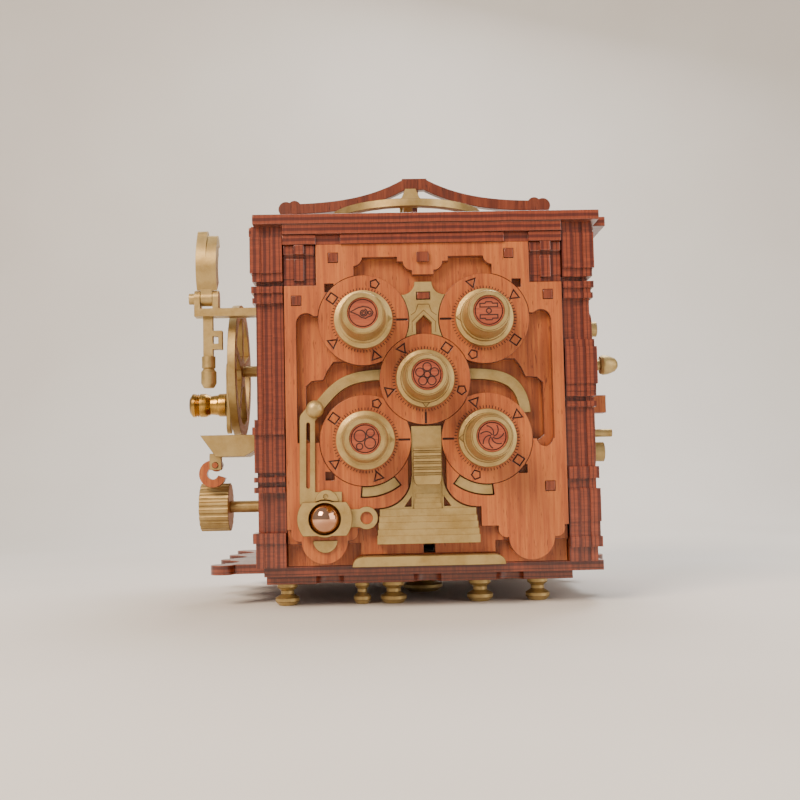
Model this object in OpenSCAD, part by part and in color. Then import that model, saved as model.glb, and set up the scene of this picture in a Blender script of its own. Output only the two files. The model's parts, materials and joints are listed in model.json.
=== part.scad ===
// Dial-coded puzzle box: a cube of laser-cut plywood sheets with five dials on its front face.
// The code discs behind the dials hold a drawer that leaves through the back.
// Origin: centre of the underside of the centre foot. +Z up, the dial face looks along -Y.

/* [Sheets] */
// Thickness of one plywood sheet
sheet = 4; // [3.8:0.1:4.2]
// Half width of the box over its side faces
half_w = 69.5; // [69:0.5:71]
// Height of the underside of the base plate above the surface it stands on
foot_h = 13; // [12.5:0.5:13.5]
// Level of the cornice's top
cornice_top = 158; // [158:0.5:160]

/* [Dials] */
// Sideways distance from the centre dial to a corner dial
dial_dx = 24.25; // [24:0.05:24.5]
// Vertical distance from the centre dial to a corner dial
dial_dz = 24.1; // [23.8:0.1:24.4]
// Height of the centre dial's axis
dial_z = 91; // [90:0.5:92]
// Radius of a dial plate
plate_r = 18.2; // [18:0.1:18.4]
// Radius of a knob's skirt
skirt_r = 11.6; // [11:0.1:12]
// How far a knob stands out of its plate
knob_h = 20; // [18:0.5:21]
// Shaft radius
shaft_r = 2.5; // [2:0.1:3]
// Code disc radius
disc_r = 15; // [14:0.25:15.25]

/* [Drawer] */
// Half width of the drawer box
drawer_w = 48; // [44:1:50]
// Height of the drawer's side walls
drawer_side_h = 44; // [36:1:50]

/* [Left side] */
// Radius of the handwheel
wheel_r = 30; // [28:0.5:31]
// Height of the handwheel's axle
wheel_z = 101; // [100:0.5:102]
// Radius of the ribbed roller
roller_r = 10.4; // [10:0.1:11]

/* [Hidden] */
$fn = 48;

wood = "#a4552c";
wood_red = "#93432a";
gold = "#b59b5c";
brass = "#c9a04a";
steel = "#9a9a98";

// Levels in the depth of the box
face_y = -70;                       // front of the upper panel
mid_y = face_y + sheet;             // front of the middle panel
wall_y = mid_y + sheet;             // front of the front wall
inside_y = wall_y + sheet;          // back of the front wall
back_y = 58;                        // front of the back frame
rear_y = back_y + sheet;            // back of the box
side_in = half_w - 3 * sheet;       // inner face of a side wall
base_z = foot_h;
floor_z = base_z + sheet;           // top of the base plate
sub_z = base_z - sheet;             // underside of the small sheet below it
roof_z = cornice_top - 3 * sheet;   // underside of the cornice
kerf = 0.15;                        // the burnt gap round a cut-out piece
gap = 0.3;                          // between a turning or sliding part and its neighbour
press_gap = 0.02;                   // drawn round a pressed joint, so both solids stay apart
cap_r = 6;                          // wooden cap in a knob's end
trim_t = 1.2;                       // thin gold plate on the upper panel
disc_y = -54;                       // front of the code discs
notch_w = 2;                        // half width of a disc's notch
hook_y = -57.2;                     // front of the drawer's claws
carrier_y = -44;                    // front of the drawer
tray_z = 23;                        // underside of the drawer
tray_back_y = back_y + 0.4;         // front of the drawer's back plate
cradle_at = [-40.8, 36.2];          // the ball, in x and z
lobe = [41.1, 27.5];                // centre of the upper panel's right lobe
cradle_y = -74.4;                   // front of the cradle plate
ball_r = 6.2;
roller_at = [-24, 40.5];            // the roller's axle, in y and z
axle_at = [-10, wheel_z];           // the handwheel's axle, in y and z
fork_at = [-38, 130];               // the lever's pivot, in y and z
ring_x = -4;                        // centre post of the crown
hook_at = [-88.4, 58.6];            // the hook's pin, in x and z

// Dial axes, in x and z, and for each dial the way its index line and its claw face
tl = [-dial_dx, dial_z + dial_dz];
tr = [dial_dx, dial_z + dial_dz];
cc = [0, dial_z];
bl = [-dial_dx, dial_z - dial_dz];
br = [dial_dx, dial_z - dial_dz];
dials = [tl, tr, cc, bl, br];
corner_dials = [tl, tr, bl, br];
index_angle = [0, 180, 270, 0, 180];
claw_angle = [90, 90, 0, 270, 270];

// ---- Helpers ----------------------------------------------------------------

// A sheet parallel to the front face: the 2-D outline is (x, z), y0 is its front
module front_sheet(y0, t = sheet) {
    translate([0, y0 + t, 0]) rotate([90, 0, 0]) linear_extrude(t) children();
}

// A sheet parallel to a side face: the 2-D outline is (y, z), x0 its lower x
module side_sheet(x0, t = sheet) {
    translate([x0, 0, 0]) rotate([90, 0, 90]) linear_extrude(t) children();
}

// A level sheet: the 2-D outline is (x, y), z0 its underside
module level_sheet(z0, t = sheet) {
    translate([0, 0, z0]) linear_extrude(t) children();
}

// A round bar along Y, from y0 to y0 + l, at x, z
module bar_y(p, y0, l, r) {
    translate([p.x, y0, p.y]) rotate([-90, 0, 0]) cylinder(h = l, r = r);
}

// A round bar along X, from x0 to x0 + l, at y, z
module bar_x(p, x0, l, r) {
    translate([x0, p.x, p.y]) rotate([0, 90, 0]) cylinder(h = l, r = r);
}

// A turned part: the profile is (radius, length along the axis)
module turned_y(p, y0) {
    translate([p.x, y0, p.y]) rotate([-90, 0, 0]) rotate_extrude() children();
}

module turned_x(p, x0) {
    translate([x0, p.x, p.y]) rotate([0, 90, 0]) rotate_extrude() children();
}

// A 2-D bar with round ends from a to b
module link_2d(a, b, r) {
    d = b - a;
    translate(a) circle(r);
    translate(b) circle(r);
    translate(a) rotate(atan2(d.y, d.x)) translate([0, -0.99 * r]) square([norm(d), 1.98 * r]);
}

module at_dial(i) {
    translate(dials[i]) children();
}

module mirrored_x() {
    children();
    mirror([1, 0]) children();
}

// A 2-D rectangle given by its two corners
module box_2d(a, b) {
    translate(a) square(b - a);
}

// A 2-D ring sector between radii r0 and r1, from angle a0 through sweep degrees
module arc_2d(r0, r1, a0, sweep) {
    steps = ceil(sweep / 45);
    reach = 2 * r1;
    intersection() {
        difference() {
            circle(r1);
            circle(r0);
        }
        polygon(concat([[0, 0]],
            [for (i = [0:steps]) reach * [cos(a0 + i * sweep / steps), sin(a0 + i * sweep / steps)]]));
    }
}

// ---- Base and shell ---------------------------------------------------------

module base_plate() {
    color(wood_red) {
        level_sheet(base_z) difference() {
            union() {
                box_2d([-66, -62], [71, 62]);
                box_2d([-85, -44], [-60, 44]);
                for (y = [-44, -14, 14, 44]) translate([-85, y]) circle(5);
                for (y = [-30, 30]) translate([71, y]) circle(6);
            }
            for (y = [-29, 0, 29]) translate([-88, y]) circle(8);
        }
        level_sheet(sub_z) difference() {
            box_2d([-66, -52], [60, 58]);
            for (x = [-40, 0, 34]) translate([x, -54]) circle(6);
        }
    }
}

// One turned foot under the base plate, with its own height
module foot(x, y, r) {
    translate([x, y, 0]) rotate_extrude() polygon([[0, 0], [r * 0.7, 0], [r, 1.6], [r, 3.2],
        [r * 0.55, 4.6], [r * 0.55, 6.2], [r * 0.85, 7.4], [r * 0.85, sub_z], [0, sub_z]]);
}

module feet() {
    color(gold) {
        for (x = [-58, 46], y = [-46, 50]) foot(x, y, 5);
        foot(-27, -46, 3.6);
        foot(-14, -46, 5.4);
        foot(22, -46, 5.4);
        foot(0, 0, 9);
    }
}

module front_step() {
    color(gold) front_sheet(mid_y - 6.5, 6.5) difference() {
        union() {
            box_2d([-26.4, floor_z], [26.4, floor_z + 4]);
            for (s = [-1, 1]) translate([26.4 * s, floor_z]) circle(3.9);
        }
        box_2d([-32, floor_z - 5], [32, floor_z]);
    }
}

// The shafts' running holes through the three front levels
module shaft_holes() {
    for (i = [0:4]) at_dial(i) circle(shaft_r + 0.08);
}

module front_wall() {
    color(wood) front_sheet(wall_y) difference() {
        box_2d([-half_w + 13.2, floor_z], [half_w - 13.2, roof_z]);
        shaft_holes();
        translate([-1.8, 21.6]) square([4.4, 4]);
        translate(cradle_at) circle(2.08);
    }
}

module deep_window() {
    polygon([[-26, 99], [-36.7, 98.8], [-39.2, 95.2], [-40.8, 91.6], [-45.4, 91.2], [-47.7, 89.2],
        [-47.7, 68], [-40, 62], [-26, 70], [-16, 80], [-16, 100]]);
}

// Crescent cut along the lower plate's rim, on the side towards the tower
module lower_crescent(r0, r1, grow) {
    translate(bl) arc_2d(r0, r1, 264 - grow, 44 + 2 * grow);
}

module middle_panel() {
    color(wood) front_sheet(mid_y) difference() {
        union() {
            box_2d([-half_w + 13.4, 26], [half_w - 13.4, roof_z]);
            box_2d([-27, floor_z + 4.4], [27, 27]);
        }
        shaft_holes();
        difference() {
            mirrored_x() deep_window();
            for (i = [0:4]) at_dial(i) circle(16.6);
        }
        translate([-1.8, 21]) square([4.4, 4.6]);
        translate(cradle_at) circle(7.4);
    }
}

// Outline of the upper panel: stepped shoulders, two lobes below
module panel_outline() {
    box_2d([-43, 120], [43, roof_z]);
    box_2d([-55.9, 32], [55.9, 129.5]);
    mirrored_x() {
        translate([lobe.x, lobe.y]) circle(9.2);
        box_2d([lobe.x - 9.1, lobe.y], [lobe.x + 9.1, 33]);
        for (s = [-1, 1]) {
            translate([lobe.x + 10 * s, 30.6]) circle(3.3);
            translate([lobe.x + 10 * s - 3.2, 30.6]) square([6.4, 3]);
        }
    }
}

module top_window() {
    difference() {
        union() {
            box_2d([-27.8, 124], [27.8, 136.6]);
            box_2d([-24.2, 130], [24.2, 140.5]);
            mirrored_x() difference() {
                box_2d([24, 136], [27.8, 140.5]);
                translate([28.2, 140.9]) circle(3.9);
            }
        }
        box_2d([-4.4, 133.2], [4.4, 141]);
        mirrored_x() {
            box_2d([4, 138.6], [10.3, 141]);
            translate([4.4, 138.6]) circle(3.6);
        }
        neck_2d(0.2);
    }
}

// Outline of the neck between the two upper plates, flared at its foot
module neck_2d(grow) {
    difference() {
        box_2d([-9.4, 107], [9.4, 130.4 + grow]);
        mirrored_x() translate([8.5 + grow, 130.2]) circle(5);
        mirrored_x() box_2d([8.4, 125.2 + grow], [12, 140]);
        for (i = [0:2]) at_dial(i) circle(plate_r + kerf);
    }
}

module side_window() {
    box_2d([-51.2, 66.4], [-16, 114.6]);
    translate([-47.2, 114.4]) circle(3.9);
    box_2d([-47.4, 110], [-42, 117]);
}

module side_window_hook() {
    translate([47.4, 66.5]) circle(3.2);
}

module tenon_holes() {
    for (p = [[-36, 140.6], [34.8, 141.4], [-51, 123.4], [50.2, 124.4], [49, 47.4]])
        translate(p - [2, 2]) square(4);
}

module upper_panel() {
    color(wood) front_sheet(face_y) difference() {
        panel_outline();
        for (i = [0:4]) at_dial(i) circle(plate_r + kerf);
        top_window();
        box_2d([-9.6, 105], [9.6, 130.6]);
        side_window();
        mirror([1, 0]) side_window();
        side_window_hook();
        mirrored_x() lower_crescent(plate_r, 22.8, 0);
        for (p = [[-37.8, 128.4], [37.6, 129.2], [-38.6, 53], [38.2, 54.4]])
            translate(p - [1.8, 1.7]) square([3.6, 3.4]);
        tenon_holes();
        box_2d([-21.2, 20], [21.2, 39.8]);
        flank_2d(0.4);
        box_2d([-7.6, 30], [7.6, 91]);
        translate(cradle_at) circle(7.4);
    }
}

module tenon_caps() {
    color(wood_red) {
        front_sheet(face_y - 0.4, sheet + 0.4)
            for (p = [[-36, 140.6], [34.8, 141.4], [-51, 123.4], [50.2, 124.4], [49, 47.4]])
                translate(p - [1.85, 1.85]) square(3.7);
        front_sheet(face_y - 1.6, 1.6) box_2d([-2.4, 138.2], [2.4, 142.2]);
        front_sheet(face_y, sheet) box_2d([-2.6, 123.3], [2.6, 126]);
    }
}

// ---- Dial plates ------------------------------------------------------------

module symbol_outline(sides, r) {
    difference() {
        circle(r, $fn = sides);
        circle(r - 0.5 / cos(180 / sides), $fn = sides);
    }
}

// Shallow engraving on dial i: its index line and four symbols, 72 degrees apart
module engraving(i) {
    translate([dials[i].x, 0, dials[i].y]) front_sheet(face_y - 1, 1.5) rotate(index_angle[i]) {
        translate([13.2, -0.4]) square([4.6, 0.8]);
        for (k = [1:4]) rotate(72 * k) translate([15.3, 0]) rotate([0, 45, 180, 180][k - 1])
            symbol_outline([5, 4, 3, 3][k - 1], [2.2, 2.7, 2.7, 2.7][k - 1]);
    }
}

module dial_plate_centre() {
    color(wood) difference() {
        front_sheet(face_y) difference() {
            translate(cc) circle(plate_r);
            shaft_holes();
        }
        engraving(2);
    }
}

module dial_plates_corner() {
    color(wood) difference() {
        front_sheet(face_y) difference() {
            for (p = corner_dials) translate(p) circle(plate_r);
            translate(cc) circle(plate_r + kerf);
            shaft_holes();
        }
        for (i = [0, 1, 3, 4]) engraving(i);
    }
}

// ---- Side walls, back, roof -------------------------------------------------

// One side wall: three laminated sheets with windows, drawn for the +X side
module side_wall_sheets(axles) {
    side_sheet(side_in) difference() {
        box_2d([inside_y, floor_z], [back_y, roof_z]);
        axle_holes(axles);
    }
    side_sheet(side_in + sheet) difference() {
        box_2d([inside_y, floor_z], [back_y, roof_z]);
        axle_holes(axles);
        box_2d([-40, 60], [-30, 128]);
        box_2d([30, 40], [42, 110]);
    }
    side_sheet(side_in + 2 * sheet) difference() {
        union() {
            box_2d([-48, 26], [48, 132]);
            box_2d([-36, 120], [36, roof_z]);
        }
        difference() {
            box_2d([-42, 52], [42, 126]);
            translate([-10, wheel_z]) circle(20);
            translate([-10, 58]) circle(17);
            box_2d([-15, 52], [-5, 126]);
            translate([24, 88]) circle(15);
        }
        axle_holes(axles);
    }
}

// Running holes for the wheel's and the roller's axles
module axle_holes(axles) {
    for (axle = axles) translate(axle) circle(shaft_r + 0.08);
}

module left_wall() {
    color(wood) mirror([1, 0, 0]) side_wall_sheets([axle_at, roller_at]);
}

module right_wall() {
    color(wood) side_wall_sheets([axle_at]);
}

module back_frame() {
    color(wood) front_sheet(back_y) difference() {
        box_2d([-half_w, floor_z], [half_w, roof_z]);
        box_2d([-drawer_w - 2, 22], [drawer_w + 2, 137]);
    }
}

module top_plate() {
    color(wood_red) level_sheet(roof_z) difference() {
        union() {
            box_2d([-56.2, -71], [56.2, back_y]);
            box_2d([-69, -54], [69, back_y]);
        }
        for (x = [-38, 38]) translate([x - 5, -72]) square([10, 2.4]);
    }
}

module cornice() {
    color(wood_red) {
        level_sheet(roof_z + sheet) {
            box_2d([-56.2, -72], [56.2, rear_y]);
            box_2d([50, -54], [72.5, 54]);
            box_2d([-69.5, -54], [-50, 54]);
        }
        level_sheet(roof_z + 2 * sheet) {
            box_2d([-68, -73], [71.4, rear_y]);
            box_2d([60, -60], [76.5, 60]);
            box_2d([-72, -50], [-60, 50]);
        }
    }
}

// One pilaster: three upright sheets cut into blocks and shafts. A step is
// [lower z, upper z, front y, how far the outer sheet stands back]
module pilaster(steps) {
    for (q = steps, i = [0:2]) {
        front = q[2] + [0, 0.9, 0.3][i];
        width = pilaster_t + (i == 2 ? -q[3] : 0.05);
        translate([side_in - 1 + i * pilaster_t, front, q[0]])
            cube([width, inside_y - front, q[1] - q[0]]);
    }
}

pilaster_t = (half_w - side_in + 1) / 3;
upper_steps = [[106, 122.8, -66.6, 2], [122.8, 125, -69, 0.8], [125, 127, -68.2, 1.4],
    [127, 129.6, -69.4, 0.4], [129.6, 131.6, -65.6, 2.4], [131.6, 135, -69, 0.8],
    [135, 149.5, -70, 0], [149.5, 154, -69, 0.6]];
left_steps = concat([[floor_z, 26.8, -68, 1], [26.8, 30.8, -69.4, 0], [30.8, 46.8, -64.6, 2.6],
    [46.8, 49, -68.6, 0.6], [49, 51, -66, 1.8], [51, 53, -68.6, 0.6], [53, 54.8, -66, 1.8],
    [54.8, 70, -67.8, 0.8], [70, 73, -69.6, 0.2], [73, 76, -68.6, 1], [76, 106, -66.6, 2]],
    upper_steps);
right_steps = concat([[floor_z, 22.8, -67, 1.6], [22.8, 27, -69.4, 0], [27, 32.8, -68.4, 0.6],
    [32.8, 46, -69, 0.2], [46, 50, -67.6, 1.6], [50, 54.8, -69.4, 0.6], [54.8, 78.8, -66.6, 2],
    [78.8, 81, -68.6, 0.6], [81, 83, -66, 2], [83, 85.2, -68.6, 0.6], [85.2, 88, -69, 0.6],
    [88, 103, -69.8, 0], [103, 106, -69, 0.8]], upper_steps);

module pilaster_left() {
    color(wood_red) mirror([1, 0, 0]) pilaster(left_steps);
}

module pilaster_right() {
    color(wood_red) pilaster(right_steps);
}

module rear_posts() {
    color(wood_red) for (s = [-1, 1]) {
        translate([s * 62, rear_y, 0]) {
            translate([-6, 0, floor_z]) cube([12, 3, 28]);
            translate([-4, 0, floor_z + 28]) cube([8, 2, 68]);
            translate([-6, 0, floor_z + 96]) cube([12, 3, 33]);
        }
    }
}

// Stepped bracket blocks between the pilasters and the panel's shoulders
module console_blocks() {
    color(wood_red) mirrored_3d() for (i = [0:2]) {
        translate([43.3 + 4.25 * i, face_y + [1.6, 0.2, 1.6][i], 131.4 + [1, 0, 1][i]])
            cube([4.3, sheet - [1.6, 0.2, 1.6][i], 9.2 - [1, 0, 1][i]]);
        translate([43.3 + 4.25 * i, face_y + [0.4, -1, 0.4][i], 142])
            cube([4.3, sheet - [0.4, -1, 0.4][i], roof_z - 142]);
    }
    color(wood_red) mirrored_3d() translate([43.3, mid_y - 2, 129.7]) cube([12.8, 2, 14]);
}

module mirrored_3d() {
    children();
    mirror([1, 0, 0]) children();
}

// ---- Gold trim of the front face --------------------------------------------

module neck_plate() {
    color(gold) front_sheet(face_y + 0.4, sheet - 0.4) difference() {
        neck_2d(0);
        polygon([[-3.1, 106], [-3.1, 113.8], [0, 116.8], [3.1, 113.8], [3.1, 106]]);
        box_2d([-2.8, 123.1], [2.8, 126.2]);
    }
}

// A cubic curve through the side window: c holds its four control points
function curve(c, t) = pow(1 - t, 3) * c[0] + 3 * pow(1 - t, 2) * t * c[1]
    + 3 * (1 - t) * t * t * c[2] + pow(t, 3) * c[3];
function curve_side(c, t, w) =
    let (d = curve(c, t + 0.01) - curve(c, t - 0.01)) curve(c, t) + w * [-d.y, d.x] / norm(d);

// A curved strip of half width w along the curve
module strip(c, w, steps = 18) {
    polygon(concat([for (i = [0:steps]) curve_side(c, i / steps, w)],
        [for (i = [steps:-1:0]) curve_side(c, i / steps, -w)]));
}

module track_arms() {
    color(gold) front_sheet(mid_y + 0.6, sheet - 0.6) difference() {
        union() {
            strip([[-14, 93.4], [-34, 94], [-36.5, 88], [-44.1, 79.6]], 2.2);
            translate([-44.1, 79.6]) circle(3);
            strip([[14, 93], [33, 94], [39.4, 90], [40.5, 77]], 2.2);
        }
        translate(cc) circle(16.7);
        for (i = [3, 4]) at_dial(i) circle(16.7);
    }
    color(gold) front_sheet(face_y + 1, sheet - 1) mirrored_x()
        lower_crescent(plate_r + 0.3, 22.4, -1);
}

// The pivot's turned stud and the slotted link that hangs from it
module slotted_link() {
    color(gold) {
        front_sheet(face_y - trim_t, trim_t) difference() {
            union() {
                link_2d([-47.2, 75], [-47.6, 46], 3.1);
                link_2d([-47.2, 76], [-44.1, 79.6], 3);
                box_2d([-50.7, 42], [-34, 46.8]);
            }
            link_2d([-46.9, 73.6], [-47.3, 49], 0.75);
            translate(cradle_at) circle(7.6);
        }
        turned_y([-44.1, 79.6], face_y - 4) polygon([[0, 0], [1.6, 0.2], [2.8, 1], [3.5, 2],
            [3.5, 2.8], [1.6, 2.8], [1.6, 8.6], [0, 8.6]]);
    }
}

// Gold pieces round the cradle: a half disc above and below, and a round-ended link
module cradle_plates() {
    color(gold) {
        front_sheet(face_y - trim_t, trim_t) difference() {
            union() {
                translate([-24.4, 36.2]) circle(4.5);
                box_2d([-33, 32.6], [-24.4, 39.8]);
            }
            translate([-24.4, 36.2]) circle(2.4);
            translate(cradle_at) circle(7.6);
        }
        front_sheet(face_y - 2, 2 - trim_t) difference() {
            translate([-40, 43]) circle(4.6);
            box_2d([-50, 32], [-30, 43]);
            translate([-40.4, 45]) circle(0.9);
            translate(cradle_at) circle(7.6);
        }
        front_sheet(face_y - trim_t, trim_t) difference() {
            translate([-40.8, 27.6]) circle(4.8);
            box_2d([-50, 27.6], [-30, 40]);
            translate(cradle_at) circle(7.6);
        }
    }
}

// Stairs in front, a tower behind them that rises to the centre plate
module stair_plinth() {
    color(gold) {
        for (k = [0:4]) front_sheet(face_y - [3, 2.5, 1.9, 1.3, 0.7][k], 4 + [3, 2.5, 1.9, 1.3, 0.7][k])
            box_2d([-20.3 + 0.3 * k, 25.8 + [0, 3.2, 5.6, 8.4, 10.8][k]],
                [20.3 - 0.3 * k, 25.8 + [3.2, 5.6, 8.4, 10.8, 13.6][k]]);
        front_sheet(face_y + 0.4, 3.6) difference() {
            flank_2d(0);
            mirrored_x() polygon([[-9.4, 40.2], [-6.4, 40.2], [-6.4, 44.4]]);
            box_2d([-5.9, 39], [5.9, 60]);
        }
        front_sheet(face_y + 1, 3) difference() {
            box_2d([-6, 39], [6, 72.2]);
            box_2d([-2.3, 49.8], [2.3, 63]);
        }
        for (k = [0:2]) front_sheet(face_y + 0.6 - 0.4 * k, 0.5 + 0.4 * k)
            box_2d([-4.6 - 0.4 * k, 39.3], [4.6 + 0.4 * k, 45.4 - 1.9 * k]);
    }
}

// Foot of the tower with its two concave braces
module flank_2d(grow) {
    difference() {
        box_2d([-18.9 - grow, 39.2], [18.9 + grow, 52.2 + grow]);
        mirrored_x() translate([18.9 + grow, 52.2 + grow]) circle(12.7);
    }
}

// Ribbed finger slider on the tower; its tail runs in the tower's slot
module stair_slider() {
    color(gold) {
        difference() {
            front_sheet(face_y - 4.4, 4.7) {
                box_2d([-5.5, 51.4], [5.5, 63.2]);
                translate([0, 51.9]) intersection() {
                    circle(5.5);
                    translate([-6, -3.1]) square([12, 4]);
                }
            }
            for (k = [0:4]) translate([-6, face_y - 5.4, 52.6 + 2.2 * k]) cube([12, 2, 1]);
        }
        front_sheet(face_y + 0.2, 3.4) box_2d([-2.2, 52.4], [2.2, 55.8]);
    }
}

// ---- Ball and cradle --------------------------------------------------------

module ball_cradle() {
    color(gold) {
        front_sheet(cradle_y, 2) difference() {
            intersection() {
                translate(cradle_at) circle(10.8);
                translate(cradle_at - [12, 6.6]) square([24, 13.2]);
            }
            translate(cradle_at) circle(ball_r + 0.12);
        }
        turned_y(cradle_at, cradle_y) polygon([[ball_r + 0.12, 0], [7.2, 0], [7.2, 10.6], [2, 10.6],
            [2, 15], [0, 15], [0, 9.6], [ball_r + 0.12, 9.6]]);
    }
}

module ball() {
    color("#b58a78") translate([cradle_at.x, cradle_y + 3.2, cradle_at.y]) sphere(ball_r);
}

// ---- Dials ------------------------------------------------------------------

// Turned knob on a wide skirt, with a pointer lug towards the index line
module dial_knob(i) {
    color(gold) {
        turned_y(dials[i], face_y - knob_h) polygon([for (q = [[0, 12], [shaft_r, 12],
            [shaft_r, gap], [skirt_r, gap], [skirt_r, 3], [9.8, 3.6], [9.8, 5.4], [9.1, 6],
            [8.5, 12], [8.2, 19.3], [7.6, knob_h], [cap_r + 0.03, knob_h], [cap_r + 0.03, 17.6],
            [0, 17.6]]) [q[0], knob_h - q[1]]]);
        translate([dials[i].x, 0, dials[i].y]) front_sheet(face_y - 4.2, 1.4)
            rotate(index_angle[i]) polygon([[9, -2.1], [skirt_r - 0.1, 0], [9, 2.1]]);
    }
}

module dial_cap(i) {
    color(wood_red) turned_y(dials[i], face_y - 19.5) polygon([[0, 0], [5.1, 0], [5.1, 0.3],
        [5.4, 0.3], [5.4, 0], [cap_r, 0], [cap_r, 1.9], [0, 1.9]]);
}

// Steel shaft with a shoulder, and the notched code disc pressed on it
module dial_spindle(i) {
    color(steel) turned_y(dials[i], face_y - 12) polygon([[0, 0], [shaft_r, 0], [shaft_r, 24.3],
        [4.4, 24.3], [4.4, disc_y - face_y + 12 - press_gap],
        [shaft_r, disc_y - face_y + 12 - press_gap],
        [shaft_r, 33.4], [0, 33.4]]);
    color(wood) translate([dials[i].x, 0, dials[i].y]) front_sheet(disc_y) difference() {
        circle(disc_r);
        circle(shaft_r + press_gap);
        rotate(claw_angle[i]) translate([11.6, -notch_w]) square([5, 2 * notch_w]);
        for (k = [1:4]) rotate(claw_angle[i] + 72 * k) translate([disc_r + 0.9, 0]) circle(1.9);
    }
}

module dial_tl_knob() { dial_knob(0); }
module dial_tl_cap() { dial_cap(0); }
module dial_tl_spindle() { dial_spindle(0); }
module dial_tr_knob() { dial_knob(1); }
module dial_tr_cap() { dial_cap(1); }
module dial_tr_spindle() { dial_spindle(1); }
module dial_c_knob() { dial_knob(2); }
module dial_c_cap() { dial_cap(2); }
module dial_c_spindle() { dial_spindle(2); }
module dial_bl_knob() { dial_knob(3); }
module dial_bl_cap() { dial_cap(3); }
module dial_bl_spindle() { dial_spindle(3); }
module dial_br_knob() { dial_knob(4); }
module dial_br_cap() { dial_cap(4); }
module dial_br_spindle() { dial_spindle(4); }

// Leaf springs on the front wall that click against the code discs
module detent_springs() {
    color(steel) for (s = [-1, 1], z = [dial_z - dial_dz, dial_z + dial_dz]) {
        translate([s * (dial_dx + disc_r + 1) - 0.3, inside_y, z - 13]) cube([0.6, 7.4, 26]);
        translate([s * (dial_dx + disc_r + 2.8) - 1.5, inside_y, z - 13]) cube([3, 4, 8]);
    }
    color(steel) {
        translate([-8, inside_y, dial_z + disc_r + 0.7]) cube([16, 7.4, 0.6]);
        translate([-8, inside_y, dial_z + disc_r + 1.3]) cube([5, 4, 3]);
    }
}

// ---- Drawer -----------------------------------------------------------------

module drawer_runners() {
    color(wood_red) for (x = [-42, 38]) translate([x, -38, floor_z])
        cube([4, 95, tray_z - gap - floor_z]);
}

module drawer_tray() {
    color(wood) {
        translate([-drawer_w, carrier_y + sheet, tray_z])
            cube([2 * drawer_w, tray_back_y - carrier_y - sheet, sheet]);
        for (x = [-drawer_w, drawer_w - sheet]) translate([x, carrier_y + sheet, tray_z + sheet])
            cube([sheet, tray_back_y - carrier_y - sheet, drawer_side_h - sheet]);
    }
}

// The carrier: low and wide across the tray, narrower where it reaches up to the claws
module drawer_front() {
    color(wood) front_sheet(carrier_y) {
        box_2d([-drawer_w, tray_z], [drawer_w, tray_z + drawer_side_h]);
        box_2d([-34, tray_z + drawer_side_h], [34, 134]);
    }
}

module drawer_back() {
    color(wood) front_sheet(tray_back_y) box_2d([-drawer_w - 1.6, 22.4], [drawer_w + 1.6, 136.6]);
}

// Five hooked claws: each bar passes its disc's rim and hooks in front of the disc
module drawer_claws() {
    color(brass) for (i = [0:4]) translate([dials[i].x, 0, dials[i].y]) rotate([0, -claw_angle[i], 0]) {
        translate([disc_r + 0.5, hook_y, -1.3]) cube([2.8, carrier_y - hook_y, 2.6]);
        translate([12.4, hook_y, -1.3]) cube([disc_r - 11.4, disc_y - 0.6 - hook_y, 2.6]);
    }
}

module drawer_pull() {
    color(gold) turned_y([0, 80], tray_back_y + sheet) polygon([[0, 0], [6, 0], [6, 1.4], [3, 3],
        [3, 6], [8, 9], [9, 11], [8.4, 13], [5, 14], [0, 14]]);
}

// ---- Left side --------------------------------------------------------------

// Spoked wheel, its crank arm and the axle that turns in the side wall
module handwheel() {
    color(wood_red) side_sheet(-83, 3.4) translate(axle_at) {
        difference() {
            circle(wheel_r);
            circle(wheel_r - 6);
        }
        for (a = [18:72:306]) rotate(a) translate([5, -2]) square([wheel_r - 9, 4]);
        difference() {
            circle(7);
            circle(shaft_r + press_gap);
        }
    }
    color(brass) {
        bar_x(axle_at, -87, 33, shaft_r);
        bar_x(axle_at, -85.2, 2.2 - press_gap, 6);
        bar_x(axle_at, -57, 3, 5);
        side_sheet(-87, 1.8) translate(axle_at) difference() {
            link_2d([0, 0], [0, -24], 4);
            circle(shaft_r);
        }
        bar_x(axle_at - [0, 15], -102, 15, 1.5);
    }
}

module crank_grip() {
    color(brass) turned_x(axle_at - [0, 15], -103.6) polygon([[0, 0], [3.6, 0], [5.3, 1.2], [5.3, 2.6],
        [4.5, 3.1], [5.3, 3.6], [4.5, 4.1], [5.3, 4.6], [5.3, 7], [4.2, 9.4], [4.6, 12.4],
        [5.2, 13.4], [5.2, 16.3], [1.56, 16.3], [1.56, 1.4], [0, 1.4]]);
}

// Ribbed roller on its axle
module roller() {
    color(gold) difference() {
        bar_x(roller_at, -96.5, 12.5, roller_r);
        for (k = [0:19]) translate([-97, roller_at.x, roller_at.y]) rotate([18 * k, 0, 0])
            translate([0, roller_r + 0.6, 0]) rotate([0, 90, 0]) cylinder(h = 13.5, r = 1.1);
        bar_x(roller_at, -97, 2.5, 7);
    }
    color(brass) {
        bar_x(roller_at, -95.6, 1.1, 4);
        bar_x(roller_at, -84, 29, shaft_r);
        bar_x(roller_at, -57.2, 2, 4);
    }
}

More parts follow.
